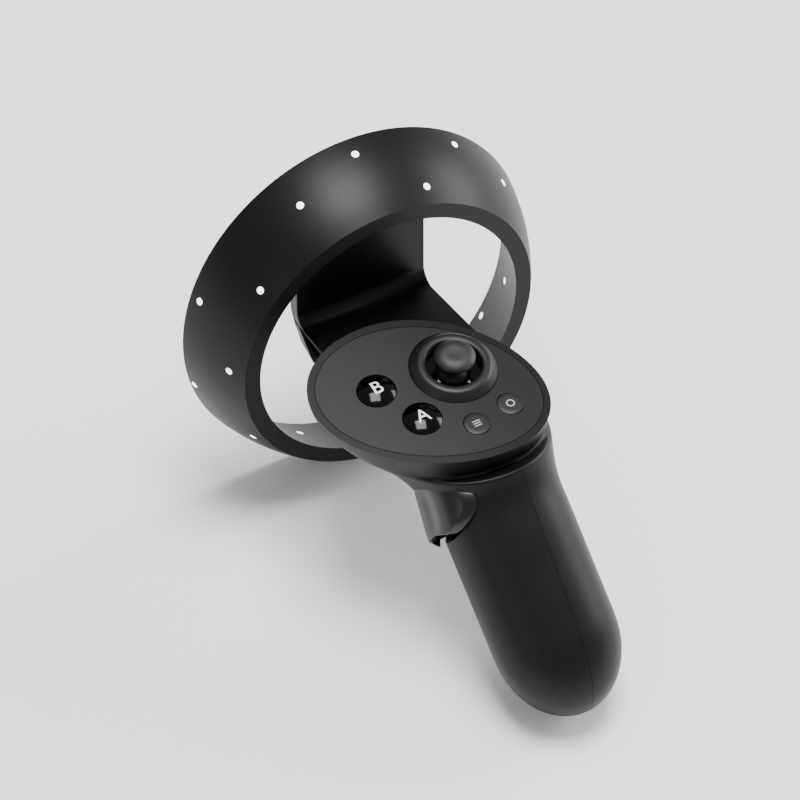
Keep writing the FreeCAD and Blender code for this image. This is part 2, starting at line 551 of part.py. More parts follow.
# ring
ring_full = band(0, 0, 0, U_MAX).cut(front_cut(0))
hollow = band(RING_WALL, RING_WALL, RING_WALL, U_MAX).cut(front_cut(RING_WALL))
split = band(RING_WALL, -5, -1, U_MAX).cut(front_cut(RING_WALL))
inner_shell = at_ring(ring_full.common(split).cut(hollow))
outer_shell = at_ring(ring_full.cut(hollow).cut(split))
outer_wall = at_ring(band(0, 0, 0, U_MAX).cut(band(RING_WALL, -5, -1, U_MAX)))
inner_wall = at_ring(band(0, 0, 0, U_MAX).cut(band(-9, RING_WALL, -1, U_MAX)))
windows_out, windows_in, leds = [], [], []
holes_out, holes_in = [], []
for azimuth, u in OUTER_LEDS:
    out = ring_radial(azimuth) * math.cos(OUT_CONE) - AXIS * math.sin(OUT_CONE)
    spot = RING_NEAR + ring_radial(azimuth) * band_radius(u) + AXIS * u
    windows_out.append(cyl(LED_R, 6, spot - out * 3, out).common(outer_wall))
    holes_out.append(cyl(LED_R + 0.05, 6, spot - out * 3, out))
    leds.append(cyl(0.8, 0.82, spot - out * 2.3, out))
for azimuth, u in INNER_LEDS:
    out = ring_radial(azimuth) * -math.cos(IN_CONE) + AXIS * math.sin(IN_CONE)
    spot = RING_NEAR + ring_radial(azimuth) * inner_radius(u) + AXIS * u
    windows_in.append(cyl(LED_R, 6, spot - out * 3, out).common(inner_wall))
    holes_in.append(cyl(LED_R + 0.05, 6, spot - out * 3, out))
    leds.append(cyl(0.8, 0.6, spot - out * 2.1, out))
outer_shell = outer_shell.cut(Part.makeCompound(holes_out))
inner_shell = inner_shell.cut(Part.makeCompound(holes_in))
save("ring_outer_shell", outer_shell)
save("ring_inner_shell", inner_shell)
save("ring_windows_outer", Part.makeCompound(windows_out))
save("ring_windows_inner", Part.makeCompound(windows_in))
save("ring_leds", Part.makeCompound(leds))
save("ring_flex", at_ring(band(RING_WALL + 1.25, -5, 2.4, 19.0).cut(band(RING_WALL + 1.5, -9, 0, U_MAX))))

# neck
trim = neck_trim()
channel = neck_layer(NECK_SPLIT, NECK_SPLIT + 0.5, NECK_X - 8.2, NECK_X + 8.2)
screws = [screw(place, direction, 1.9, 1.0, 0.8, 2.4) for place, direction in neck_screw_axes()]
front_cover = neck_layer(0, NECK_SPLIT, NECK_X - 40, NECK_X + 40).common(trim)
back_cover = neck_layer(NECK_SPLIT, NECK_T, NECK_X - 40, NECK_X + 40).common(trim)
screw_group = Part.makeCompound(screws)
save("neck_front_cover", front_cover.cut(screw_group))
save("neck_back_cover", back_cover.cut(channel).cut(screw_group))
save("neck_flex", neck_layer(NECK_SPLIT + 0.1, NECK_SPLIT + 0.35, NECK_X - 8, NECK_X + 8).common(trim))
save("neck_screws", screw_group)
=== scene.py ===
"""Visual model of a handheld motion controller: tracking ring, bridge, thumb face, triggers and handle."""
import enum
import logging
import math
from dataclasses import dataclass, field

import bpy
from mathutils import Matrix, Vector


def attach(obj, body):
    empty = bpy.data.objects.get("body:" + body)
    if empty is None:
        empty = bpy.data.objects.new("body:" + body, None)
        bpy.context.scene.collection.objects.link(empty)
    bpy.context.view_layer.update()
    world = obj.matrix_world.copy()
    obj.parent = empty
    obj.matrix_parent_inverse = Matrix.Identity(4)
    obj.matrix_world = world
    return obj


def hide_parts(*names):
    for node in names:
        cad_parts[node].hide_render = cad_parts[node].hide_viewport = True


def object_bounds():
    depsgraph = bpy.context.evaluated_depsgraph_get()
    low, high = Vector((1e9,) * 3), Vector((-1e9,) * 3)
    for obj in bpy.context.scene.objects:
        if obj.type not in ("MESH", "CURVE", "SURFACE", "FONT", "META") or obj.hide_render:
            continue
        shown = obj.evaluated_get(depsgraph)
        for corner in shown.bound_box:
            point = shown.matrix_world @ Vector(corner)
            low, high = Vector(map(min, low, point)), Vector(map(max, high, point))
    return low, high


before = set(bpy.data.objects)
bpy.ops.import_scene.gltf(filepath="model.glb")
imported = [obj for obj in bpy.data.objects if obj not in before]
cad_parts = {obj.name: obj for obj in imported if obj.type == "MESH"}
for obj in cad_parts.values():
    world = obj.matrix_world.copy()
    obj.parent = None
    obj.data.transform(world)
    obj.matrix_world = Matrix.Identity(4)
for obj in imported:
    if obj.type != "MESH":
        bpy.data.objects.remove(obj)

LOG = logging.getLogger("controller")
MM = 0.001
UP = Vector((0, 0, 1))
FACE = Vector((-4.8, 10.135, 73.856)) * MM
CROWN_RADIUS = 210 * MM
RING_FOOT = Vector((0, 43.035, 60.806)) * MM
RING_AXIS = Vector((0, 0.98769, -0.15643))
HANDLE_DOWN = Vector((0.03702, -0.83348, -0.55131))
HANDLE_SIDE = Vector((0.99931, 0.03088, 0.02042))
HANDLING_MM = 14      # size of the clouds that handling leaves
FROST_MM = 0.3        # grain of the frosted windows
SLEEVE_BAND_MM = 62   # from the face's middle down the handle to where the sleeve's colours meet
CAD_BOX = [[float(v) for v in corner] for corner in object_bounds()]


def face_height(x: float) -> float:
    """Height of the crowned thumb face at a distance from side to side, in metres."""
    run = x - FACE.x
    return FACE.z - CROWN_RADIUS + math.sqrt(CROWN_RADIUS ** 2 - run ** 2)


# ---- finishes --------------------------------------------------------------------------------
def linear(hex_colour: str) -> tuple[float, float, float, float]:
    """Turn an sRGB hex colour into linear RGBA.

    Args:
        hex_colour: six hex digits.

    Returns:
        Linear red, green, blue and an alpha of one.
    """
    def channel(text: str) -> float:
        """One channel to linear."""
        c = int(text, 16) / 255
        return c / 12.92 if c <= 0.04045 else ((c + 0.055) / 1.055) ** 2.4
    return (channel(hex_colour[0:2]), channel(hex_colour[2:4]), channel(hex_colour[4:6]), 1.0)


def add_node(tree: bpy.types.NodeTree, kind: str, settings: dict | None = None,
             inputs: dict | None = None) -> bpy.types.Node:
    """Add one shader node.

    Args:
        tree: the material's node tree.
        kind: the node type's name.
        settings: attributes to set on the node.
        inputs: socket name or index to a value, or to the output socket that feeds it.

    Returns:
        The new node.
    """
    node = tree.nodes.new(kind)
    for name, value in (settings or {}).items():
        setattr(node, name, value)
    for name, value in (inputs or {}).items():
        if isinstance(value, bpy.types.NodeSocket):
            tree.links.new(value, node.inputs[name])
        else:
            node.inputs[name].default_value = value
    return node


def plain_material(
    name: str,
) -> tuple[bpy.types.Material, bpy.types.NodeTree, bpy.types.Node, bpy.types.NodeSocket]:
    """Start a material on the object's own coordinates.

    Args:
        name: the material's name.

    Returns:
        The material, its node tree, its shader and its object coordinates.
    """
    material = bpy.data.materials.new(name)
    material.use_nodes = True
    tree = material.node_tree
    return (material, tree, tree.nodes["Principled BSDF"],
            add_node(tree, "ShaderNodeTexCoord").outputs["Object"])


def ramp_stops(node: bpy.types.Node, stops: list[tuple[float, tuple]]) -> None:
    """Set a two-stop colour ramp's positions and colours."""
    for element, (position, colour) in zip(node.color_ramp.elements, stops):
        element.position = position
        element.color = colour


@dataclass(frozen=True)
class MouldedPlastic:
    """An injection-moulded or coated plastic with a fine tool grain and slight handling marks."""

    name: str
    colour: str
    worn_colour: str
    roughness: float
    roughness_spread: float
    grain_mm: float
    grain_depth_mm: float
    coat: float = 0.0
    ior: float = 1.5
    specular: float = 0.5

    def build(self) -> bpy.types.Material:
        """Make the material.

        Returns:
            The finished material.
        """
        material, tree, shader, place = plain_material(self.name)
        # Handling polishes some areas more than others.
        clouds = add_node(tree, "ShaderNodeTexNoise", {}, {"Vector": place, "Scale": 1 / (HANDLING_MM * MM),
                                                          "Detail": 3.0, "Roughness": 0.55})
        tint = add_node(tree, "ShaderNodeMix", {"data_type": "RGBA"},
                        {0: clouds.outputs["Fac"], 6: linear(self.colour), 7: linear(self.worn_colour)})
        gloss = add_node(tree, "ShaderNodeMapRange", {},
                         {"Value": clouds.outputs["Fac"], "To Min": self.roughness - self.roughness_spread,
                          "To Max": self.roughness + self.roughness_spread})
        # The tool's etched grain, drawn a little coarser than the real one so that it shows.
        grain = add_node(tree, "ShaderNodeTexNoise", {}, {"Vector": place, "Scale": 1 / (self.grain_mm * MM),
                                                         "Detail": 2.0})
        bump = add_node(tree, "ShaderNodeBump", {}, {"Height": grain.outputs["Fac"], "Strength": 0.6,
                                                     "Distance": self.grain_depth_mm * MM})
        tree.links.new(tint.outputs[2], shader.inputs["Base Color"])
        tree.links.new(gloss.outputs["Result"], shader.inputs["Roughness"])
        tree.links.new(bump.outputs["Normal"], shader.inputs["Normal"])
        shader.inputs["IOR"].default_value = self.ior
        shader.inputs["Specular IOR Level"].default_value = self.specular
        shader.inputs["Coat Weight"].default_value = self.coat
        shader.inputs["Coat Roughness"].default_value = 0.06
        return material


@dataclass(frozen=True)
class PlainMetal:
    """A pressed, drawn or plated metal with fine drawing lines."""

    name: str
    colour: str
    dull_colour: str
    roughness: float
    line_mm: float

    def build(self) -> bpy.types.Material:
        """Make the material.

        Returns:
            The finished material.
        """
        material, tree, shader, place = plain_material(self.name)
        along = add_node(tree, "ShaderNodeMapping", {}, {"Vector": place, "Scale": (0.05, 1.0, 1.0)})
        lines = add_node(tree, "ShaderNodeTexNoise", {}, {"Vector": along.outputs["Vector"],
                                                         "Scale": 1 / (self.line_mm * MM), "Detail": 2.0})
        tint = add_node(tree, "ShaderNodeMix", {"data_type": "RGBA"},
                        {0: lines.outputs["Fac"], 6: linear(self.colour), 7: linear(self.dull_colour)})
        gloss = add_node(tree, "ShaderNodeMapRange", {}, {"Value": lines.outputs["Fac"],
                                                         "To Min": self.roughness - 0.06,
                                                         "To Max": self.roughness + 0.08})
        tree.links.new(tint.outputs[2], shader.inputs["Base Color"])
        tree.links.new(gloss.outputs["Result"], shader.inputs["Roughness"])
        shader.inputs["Metallic"].default_value = 1.0
        return material


@dataclass(frozen=True)
class LitWindow:
    """A frosted clear polycarbonate window with a white light behind it."""

    name: str
    colour: str
    glow: float

    def build(self) -> bpy.types.Material:
        """Make the material.

        Returns:
            The finished material.
        """
        material, tree, shader, place = plain_material(self.name)
        frost = add_node(tree, "ShaderNodeTexNoise", {}, {"Vector": place, "Scale": 1 / (FROST_MM * MM),
                                                         "Detail": 2.0})
        gloss = add_node(tree, "ShaderNodeMapRange", {}, {"Value": frost.outputs["Fac"], "To Min": 0.2,
                                                         "To Max": 0.5})
        tree.links.new(gloss.outputs["Result"], shader.inputs["Roughness"])
        shader.inputs["Base Color"].default_value = linear(self.colour)
        shader.inputs["Emission Color"].default_value = linear(self.colour)
        shader.inputs["Emission Strength"].default_value = self.glow
        return material


@dataclass(frozen=True)
class CircuitBoard:
    """Solder mask over copper tracks on a glass-epoxy board."""

    name: str
    mask: str
    track: str
    track_mm: float

    def build(self) -> bpy.types.Material:
        """Make the material.

        Returns:
            The finished material.
        """
        material, tree, shader, place = plain_material(self.name)
        # Copper tracks lie under the mask as slightly lighter runs.
        cells = add_node(tree, "ShaderNodeTexVoronoi", {"feature": "DISTANCE_TO_EDGE"},
                         {"Vector": place, "Scale": 1 / (self.track_mm * 6 * MM)})
        edge = add_node(tree, "ShaderNodeValToRGB", {}, {"Fac": cells.outputs["Distance"]})
        ramp_stops(edge, [(0.04, linear(self.track)), (0.08, linear(self.mask))])
        bump = add_node(tree, "ShaderNodeBump", {}, {"Height": cells.outputs["Distance"], "Strength": 0.2,
                                                     "Distance": 0.05 * MM})
        tree.links.new(edge.outputs["Color"], shader.inputs["Base Color"])
        tree.links.new(bump.outputs["Normal"], shader.inputs["Normal"])
        shader.inputs["Roughness"].default_value = 0.35
        return material


@dataclass(frozen=True)
class PrintedSleeve:
    """A cell's shrink sleeve: two plain colours that meet in a band across its length."""

    name: str
    body: str
    end: str

    def build(self) -> bpy.types.Material:
        """Make the material.

        Returns:
            The finished material.
        """
        material, tree, shader, place = plain_material(self.name)
        reach = add_node(tree, "ShaderNodeVectorMath", {"operation": "DOT_PRODUCT"},
                         {0: place, 1: tuple(HANDLE_DOWN)})
        middle = HANDLE_DOWN.dot(FACE) + SLEEVE_BAND_MM * MM
        band = add_node(tree, "ShaderNodeMapRange", {}, {"Value": reach.outputs["Value"],
                                                        "From Min": middle - 0.1 * MM,
                                                        "From Max": middle + 0.1 * MM})
        tint = add_node(tree, "ShaderNodeMix", {"data_type": "RGBA"},
                        {0: band.outputs["Result"], 6: linear(self.body), 7: linear(self.end)})
        tree.links.new(tint.outputs[2], shader.inputs["Base Color"])
        shader.inputs["Roughness"].default_value = 0.28
        shader.inputs["Coat Weight"].default_value = 0.4
        return material


class Finish(enum.Enum):
    """The controller's finishes."""

    # Soft-touch lacquer over ABS: deep black with a broad, dull sheen.
    SOFT_TOUCH = MouldedPlastic("soft_touch_lacquer", "070708", "0C0C0D",
                                0.42, 0.04, 0.35, 0.010, 0.0, 1.5, 0.22)
    # Satin ABS insert: its satin finish is its own, but its lighter colour is painted light. It stands in for
    # the light from above that the upturned face reflects, so that the thumb face reads grey against the rim.
    FACE_SATIN = MouldedPlastic("satin_abs_painted_light", "101011", "161617", 0.42, 0.03, 0.30, 0.010, 0.0, 1.5, 0.27)
    # Infrared-passing polycarbonate: smoother, with long soft reflections round the band.
    RING_SATIN = MouldedPlastic("satin_polycarbonate", "040405", "080809",
                                0.40, 0.03, 0.30, 0.005, 0.0, 1.5, 0.2)
    # Polished ABS keys: a sharp small reflection on the dome.
    KEY_GLOSS = MouldedPlastic("polished_abs", "020203", "040405", 0.10, 0.02, 0.8, 0.001, 0.0, 1.5, 0.16)
    # Semi-gloss triggers: the bright crescent along their edges comes from this.
    TRIGGER_GLOSS = MouldedPlastic("semi_gloss_abs", "060607", "0A0A0B",
                                   0.3, 0.03, 0.4, 0.003, 0.1, 1.5, 0.35)
    # Moulded silicone rubber on the stick: dull, with a fine pimpled grain.
    STICK_RUBBER = MouldedPlastic("moulded_rubber", "0B0B0B", "111111", 0.5, 0.05, 0.28, 0.02, 0.0, 1.5, 0.4)
    # Pad-printed ink.
    KEY_INK = MouldedPlastic("pad_print_ink", "E9E9EA", "DADADC", 0.45, 0.03, 0.2, 0.002)
    # Dimmer ink of the small symbols.
    DIM_INK = MouldedPlastic("grey_pad_print_ink", "A8A8AA", "9A9A9C", 0.5, 0.03, 0.2, 0.002)
    # Acetal stick parts: smooth and slightly waxy.
    ACETAL = MouldedPlastic("acetal", "060607", "0A0A0A", 0.45, 0.03, 0.5, 0.004, 0.0, 1.5, 0.25)
    # Glass-filled nylon: dull dark grey with a coarse grain.
    NYLON = MouldedPlastic("glass_filled_nylon", "2C2D2F", "35363A", 0.55, 0.05, 0.5, 0.02)
    # Silicone key mat: pale, soft and matt.
    SILICONE = MouldedPlastic("silicone_rubber", "9A9B9D", "A5A6A8", 0.6, 0.05, 0.6, 0.01)
    # Polyimide film of the flexible circuits: amber and smooth.
    POLYIMIDE = MouldedPlastic("polyimide_film", "B5701E", "C58432", 0.3, 0.04, 1.2, 0.004)
    # Frosted light windows: an even white glow.
    WINDOW = LitWindow("frosted_polycarbonate", "FFFFFF", 2.6)
    # Solder mask over copper: green with lighter tracks.
    BOARD = CircuitBoard("solder_mask", "0B3B22", "1B5E36", 0.25)
    # Tin plate of the cans and switches: pale and slightly dull.
    TIN_PLATE = PlainMetal("tin_plate", "B9B9B4", "9C9C98", 0.34, 0.2)
    # Ground steel pins and springs: fine bright lines.
    STEEL = PlainMetal("ground_steel", "B4B5B8", "94959A", 0.26, 0.12)
    # Nickel plate on magnets and contacts: warm and bright.
    NICKEL = PlainMetal("nickel_plate", "C9C5BC", "ADA99F", 0.2, 0.25)
    # Printed shrink sleeve of a cell: two plain glossy colours.
    SLEEVE = PrintedSleeve("printed_sleeve", "1F3A5A", "B9BDC2")


NODE_FINISHES = {
    Finish.SOFT_TOUCH: ("main_casing", "battery_cover"),
    # The face's parts share the satin finish whose lighter colour is painted light from above.
    Finish.FACE_SATIN: ("face_plate", "stick_collar", "key_menu", "key_home"),
    Finish.RING_SATIN: ("ring_outer_shell", "ring_inner_shell", "neck_front_cover", "neck_back_cover"),
    Finish.KEY_GLOSS: ("key_a", "key_b"),
    Finish.TRIGGER_GLOSS: ("trigger", "grip_button"),
    Finish.STICK_RUBBER: ("stick_cap",),
    Finish.ACETAL: ("stick_shaft", "stick_yoke", "stick_module"),
    Finish.NYLON: ("battery_tray", "trigger_bracket", "grip_bracket"),
    Finish.SILICONE: ("key_mat",),
    Finish.POLYIMIDE: ("ring_flex", "neck_flex"),
    Finish.WINDOW: ("ring_windows_outer", "ring_windows_inner", "ring_leds"),
    Finish.BOARD: ("main_board",),
    Finish.TIN_PLATE: ("dome_switches", "processor_can", "radio_can"),
    Finish.STEEL: ("trigger_pin", "trigger_spring", "grip_pin", "grip_spring", "neck_screws", "rumble_motor",
                   "rumble_weight"),
    Finish.NICKEL: ("trigger_magnet", "grip_magnet", "battery_springs", "battery_contacts"),
    Finish.SLEEVE: ("cell_palm", "cell_finger"),
}


class Paintbox:
    """Builds each finish once and hands it out."""

    def __init__(self) -> None:
        """Start with no materials made."""
        self.made: dict[Finish, bpy.types.Material] = {}

    def get(self, finish: Finish) -> bpy.types.Material:
        """Return a finish's material, made on first use."""
        if finish not in self.made:
            self.made[finish] = finish.value.build()
        return self.made[finish]

    def paint(self, piece: bpy.types.Object, finish: Finish) -> None:
        """Give every slot of a piece one finish."""
        piece.data.materials.clear()
        piece.data.materials.append(self.get(finish))

    def dress_frame(self) -> None:
        """Give each frame node its finish."""
        for finish, names in NODE_FINISHES.items():
            for name in names:
                piece = bpy.data.objects[name]
                if not piece.material_slots:
                    piece.data.materials.append(self.get(finish))
                for place in piece.material_slots:
                    place.material = self.get(finish)


# ---- modelling helpers -----------------------------------------------------------------------
def only(piece: bpy.types.Object) -> None:
    """Select one object alone and make it active."""
    bpy.ops.object.select_all(action="DESELECT")
    piece.select_set(True)
    bpy.context.view_layer.objects.active = piece


def settle(piece: bpy.types.Object, name: str, place: Matrix, smooth_deg: float = 35) -> bpy.types.Object:
    """Name a new piece, move it to its place and put that place into its mesh.

    Args:
        piece: the object, modelled about its own origin in metres.
        name: the piece's name.
        place: where it goes in the object's frame.
        smooth_deg: edges flatter than this are shaded smooth.

    Returns:
        The same object.
    """
    piece.name = name
    piece.data.name = name
    piece.matrix_world = place @ piece.matrix_world
    only(piece)
    bpy.ops.object.transform_apply(location=True, rotation=True, scale=True)
    bpy.ops.object.shade_smooth_by_angle(angle=math.radians(smooth_deg))
    return piece


def upright(base: Vector, axis: Vector = UP) -> Matrix:
    """Place that stands a piece's own Z along an axis at a point."""
    return Matrix.Translation(base) @ axis.to_track_quat("Z", "Y").to_matrix().to_4x4()


def apply_modifiers(piece: bpy.types.Object) -> None:
    """Apply every modifier on a piece."""
    only(piece)
    for modifier in list(piece.modifiers):
        bpy.ops.object.modifier_apply(modifier=modifier.name)


def turned(name: str, rings: list[tuple[float, float]], place: Matrix, segments: int = 96,
           hollow: bool = False, smooth_deg: float = 35) -> bpy.types.Object:
    """Turn a round piece by extruding a circle ring by ring.

    Args:
        name: the piece's name.
        rings: radius and height of each ring in mm, from the first to the last.
        place: where the piece's own origin and Z axis go.
        segments: sides round the piece.
        hollow: join the last ring to the first, in place of closing both ends.
        smooth_deg: edges flatter than this are shaded smooth.

    Returns:
        The finished object.
    """
    radius, height = rings[0]
    only_none()
    bpy.ops.mesh.primitive_circle_add(vertices=segments, radius=radius * MM, location=(0, 0, height * MM),
                                      fill_type="NOTHING")
    piece = bpy.context.object
    bpy.ops.object.mode_set(mode="EDIT")
    bpy.ops.mesh.select_all(action="SELECT")
    if not hollow:
        bpy.ops.mesh.edge_face_add()
        bpy.ops.mesh.select_all(action="SELECT")
        bpy.ops.mesh.select_mode(type="EDGE")
    for next_radius, next_height in rings[1:]:
        bpy.ops.mesh.extrude_edges_move(TRANSFORM_OT_translate={"value": (0, 0, (next_height - height) * MM)})
        grow = next_radius / radius
        bpy.ops.transform.resize(value=(grow, grow, 1), center_override=(0, 0, next_height * MM))
        radius, height = next_radius, next_height
    if hollow:
        bpy.ops.mesh.select_all(action="DESELECT")
        bpy.ops.mesh.select_non_manifold(extend=False, use_wire=False, use_boundary=True,
                                         use_multi_face=False, use_non_contiguous=False, use_verts=False)
        bpy.ops.mesh.bridge_edge_loops()
    else:
        bpy.ops.mesh.edge_face_add()
    bpy.ops.mesh.select_all(action="SELECT")
    bpy.ops.mesh.remove_doubles(threshold=1e-7)
    bpy.ops.mesh.normals_make_consistent(inside=False)
    bpy.ops.object.mode_set(mode="OBJECT")
    return settle(piece, name, place, smooth_deg)


def only_none() -> None:
    """Leave nothing selected, in object mode."""
    if bpy.context.object and bpy.context.object.mode != "OBJECT":
        bpy.ops.object.mode_set(mode="OBJECT")
    bpy.ops.object.select_all(action="DESELECT")


def softened(node: str, name: str, width_mm: float, segments: int = 3,
             angle_deg: float = 40) -> bpy.types.Object:
    """Copy a frame node, merge it and round its sharp edges.

    Args:
        node: the frame node that the copy stands for.
        name: the copy's name.
        width_mm: width of the rounding.
        segments: steps across the rounding.
        angle_deg: edges sharper than this are rounded.

    Returns:
        The rounded copy.
    """
    source = bpy.data.objects[node]
    piece = source.copy()
    piece.data = source.data.copy()
    bpy.context.scene.collection.objects.link(piece)
    piece.name = name
    only(piece)
    piece.hide_set(False)
    bpy.ops.object.mode_set(mode="EDIT")
    bpy.ops.mesh.select_all(action="SELECT")
    bpy.ops.mesh.remove_doubles(threshold=2e-6)
    bpy.ops.object.mode_set(mode="OBJECT")
    bevel = piece.modifiers.new("edge rounding", "BEVEL")
    bevel.width = width_mm * MM
    bevel.segments = segments
    bevel.limit_method = "ANGLE"
    bevel.angle_limit = math.radians(angle_deg)
    bevel.use_clamp_overlap = True
    apply_modifiers(piece)
    bpy.ops.object.shade_smooth_by_angle(angle=math.radians(32))
    return piece


def finish_piece(paints: Paintbox, piece: bpy.types.Object, finish: Finish, body: str, slot: str,
                 *nodes: str) -> None:
    """Paint a new piece, let it ride on a body and hide the frame nodes that it stands for."""
    paints.paint(piece, finish)
    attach(piece, body)
    if nodes:
        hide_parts(*nodes)
    LOG.info("%s rides on %s, %d faces", piece.name, body, len(piece.data.polygons))


# ---- thumb face ------------------------------------------------------------------------------
class Symbol(enum.Enum):
    """What is printed on a key."""

    LETTER_A = "A"
    LETTER_B = "B"
    BARS = "bars"
    RING = "ring"


@dataclass
class FaceKey:
    """One round key with its printed symbol."""

    node: str
    across: float
    forward: float
    radius: float
    dome: float
    symbol: Symbol

    @property
    def base(self) -> Vector:
        """The key's place on the crowned face."""
        x = FACE.x + self.across * MM
        return Vector((x, FACE.y + self.forward * MM, face_height(x)))

    def rings(self) -> list[tuple[float, float]]:
        """Rings of the cap, from its lower rim over a rounded shoulder to the middle of its dome.

        Returns:
            Radius and height pairs in mm.
        """
        r, rise = self.radius, self.dome
        rings = [(r + 0.55, -3.3), (r + 0.55, -2.5), (r, -2.5), (r, -0.3)]
        shoulder = 0.35 if rise > 0.5 else 0.32
        if rise > 0.5:
            bow = (r ** 2 + rise ** 2) / (2 * rise)
            rings.append((r, 0.0))
            steps = 14
            for i in range(1, steps):
                q = r * math.cos(math.pi / 2 * i / steps)
                height = rise - bow + math.sqrt(bow ** 2 - q ** 2)
                rings.append((q, height))
        else:
            rings += [(r, rise - shoulder), (r - shoulder * 0.3, rise - shoulder * 0.3), (r - shoulder, rise),
                      (r * 0.6, rise), (r * 0.25, rise)]
        return rings

    def build(self, paints: Paintbox) -> None:
        """Model the cap and its symbol."""
        cap = turned(self.node + "_cap", self.rings(), upright(self.base), 72)
        domed = self.dome > 0.5
        skin = Finish.KEY_GLOSS if domed else Finish.FACE_SATIN
        finish_piece(paints, cap, skin, self.node, "key_gloss", self.node)
        marks = {Symbol.BARS: self.bars, Symbol.RING: self.ring_mark}
        mark = marks.get(self.symbol, self.letter)()
        self.lay_on(mark, cap)
        ink = Finish.KEY_INK if domed else Finish.DIM_INK
        finish_piece(paints, mark, ink, self.node, "led_window")

    def letter(self) -> bpy.types.Object:
        """A bold letter as a flat mesh."""
        only_none()
        bpy.ops.object.text_add(location=(0, 0, 0))
        text = bpy.context.object
        text.data.body = self.symbol.value
        text.data.size = 6.5 * MM
        text.data.align_x = "CENTER"
        text.data.align_y = "CENTER"
        text.data.offset = 0.03 * MM
        text.data.resolution_u = 8
        only(text)
        bpy.ops.object.convert(target="MESH")
        glyph = bpy.context.object
        bpy.ops.object.mode_set(mode="EDIT")
        bpy.ops.mesh.select_all(action="SELECT")
        bpy.ops.mesh.remove_doubles(threshold=0.01 * MM)
        bpy.ops.object.mode_set(mode="OBJECT")
        return glyph

    def bars(self) -> bpy.types.Object:
        """Three short bars, one above the other."""
        only_none()
        bpy.ops.mesh.primitive_plane_add(size=1, location=(0, 0, 0))
        bar = bpy.context.object
        bar.scale = (2.6 * MM, 0.34 * MM, 1)
        bpy.ops.object.transform_apply(location=False, rotation=False, scale=True)
        rows = bar.modifiers.new("rows", "ARRAY")
        rows.count = 3
        rows.use_relative_offset = False
        rows.use_constant_offset = True
        rows.constant_offset_displace = (0, 0.85 * MM, 0)
        apply_modifiers(bar)
        bar.location = (0, -0.85 * MM, 0)
        bpy.ops.object.transform_apply(location=True, rotation=False, scale=False)
        return bar

    def ring_mark(self) -> bpy.types.Object:
        """A plain ring."""
        only_none()
        bpy.ops.mesh.primitive_circle_add(vertices=48, radius=1.35 * MM, fill_type="NGON")
        mark = bpy.context.object
        bpy.ops.object.mode_set(mode="EDIT")
        bpy.ops.mesh.select_all(action="SELECT")
        bpy.ops.mesh.inset(thickness=0.4 * MM)
        bpy.ops.mesh.delete(type="FACE")
        bpy.ops.object.mode_set(mode="OBJECT")
        return mark

    def lay_on(self, mark: bpy.types.Object, cap: bpy.types.Object) -> None:
        """Lay a flat mark on the cap's surface and give it the thickness of ink."""
        settle(mark, self.node + "_mark", Matrix.Translation(self.base + UP * 4 * MM))
        only(mark)
        bpy.ops.object.mode_set(mode="EDIT")
        bpy.ops.mesh.select_all(action="SELECT")
        bpy.ops.mesh.quads_convert_to_tris()
        bpy.ops.mesh.subdivide(number_cuts=2)
        bpy.ops.object.mode_set(mode="OBJECT")
        wrap = mark.modifiers.new("lay on cap", "SHRINKWRAP")
        wrap.target = cap
        wrap.wrap_method = "PROJECT"
        wrap.use_project_z = True
        wrap.use_negative_direction = True
        wrap.use_positive_direction = False
        wrap.cull_face = "BACK"
        wrap.offset = 0.04 * MM
        skin = mark.modifiers.new("ink thickness", "SOLIDIFY")
        skin.thickness = 0.03 * MM
        skin.offset = 1.0
        apply_modifiers(mark)


